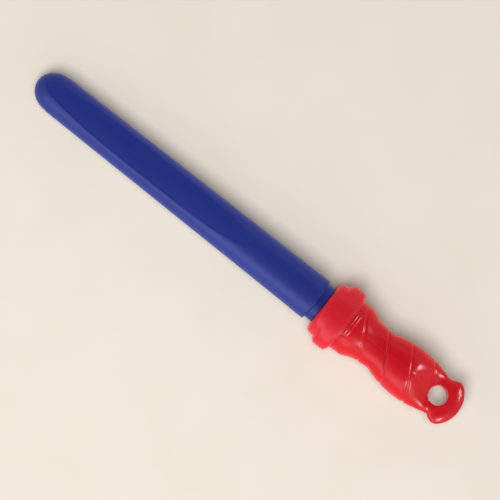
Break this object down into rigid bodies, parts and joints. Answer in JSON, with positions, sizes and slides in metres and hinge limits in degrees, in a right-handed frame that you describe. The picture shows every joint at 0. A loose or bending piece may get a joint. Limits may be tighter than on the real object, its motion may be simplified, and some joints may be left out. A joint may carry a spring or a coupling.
{
  "type": "screw-top bubble wand",
  "caption": "Toy bubble wand shaped like a sword: a long tube for bubble liquid closed by a screw-on handle that carries a flat wand, with a hang hole in the grip's end.",
  "frame": {"origin": "centre of the underside: the middle of the bounding box's base, under the middle of the object's length", "axes": "+X along the long axis from the tube's tip to the handle's tail, +Y along the guard's long diameter, +Z square to the flat paddle at the tail"},
  "size_m": [0.38, 0.0506, 0.0434],
  "materials": {
    "blue_plastic": "satin, blow-moulded",
    "red_plastic": "glossy",
    "wand_plastic": "glossy, moulded",
    "seal_foam": "matte closed-cell foam"
  },
  "bodies": {
    "tube": {"tube": "blue_plastic"},
    "seal": {"seal_washer": "seal_foam"},
    "handle": {"screw_collar": "red_plastic", "grip_shell": "red_plastic", "bubble_wand": "wand_plastic"}
  },
  "joints": [
    {"name": "withdraw", "type": "slide", "parent": "tube", "child": "seal", "axis": [1, 0, 0], "range_m": [0, 0.27]},
    {"name": "unscrew", "type": "hinge", "parent": "seal", "child": "handle", "pos_m": [0.085, 0, 0.0217], "axis": [1, 0, 0], "range_deg": [0, 450]}
  ]
}
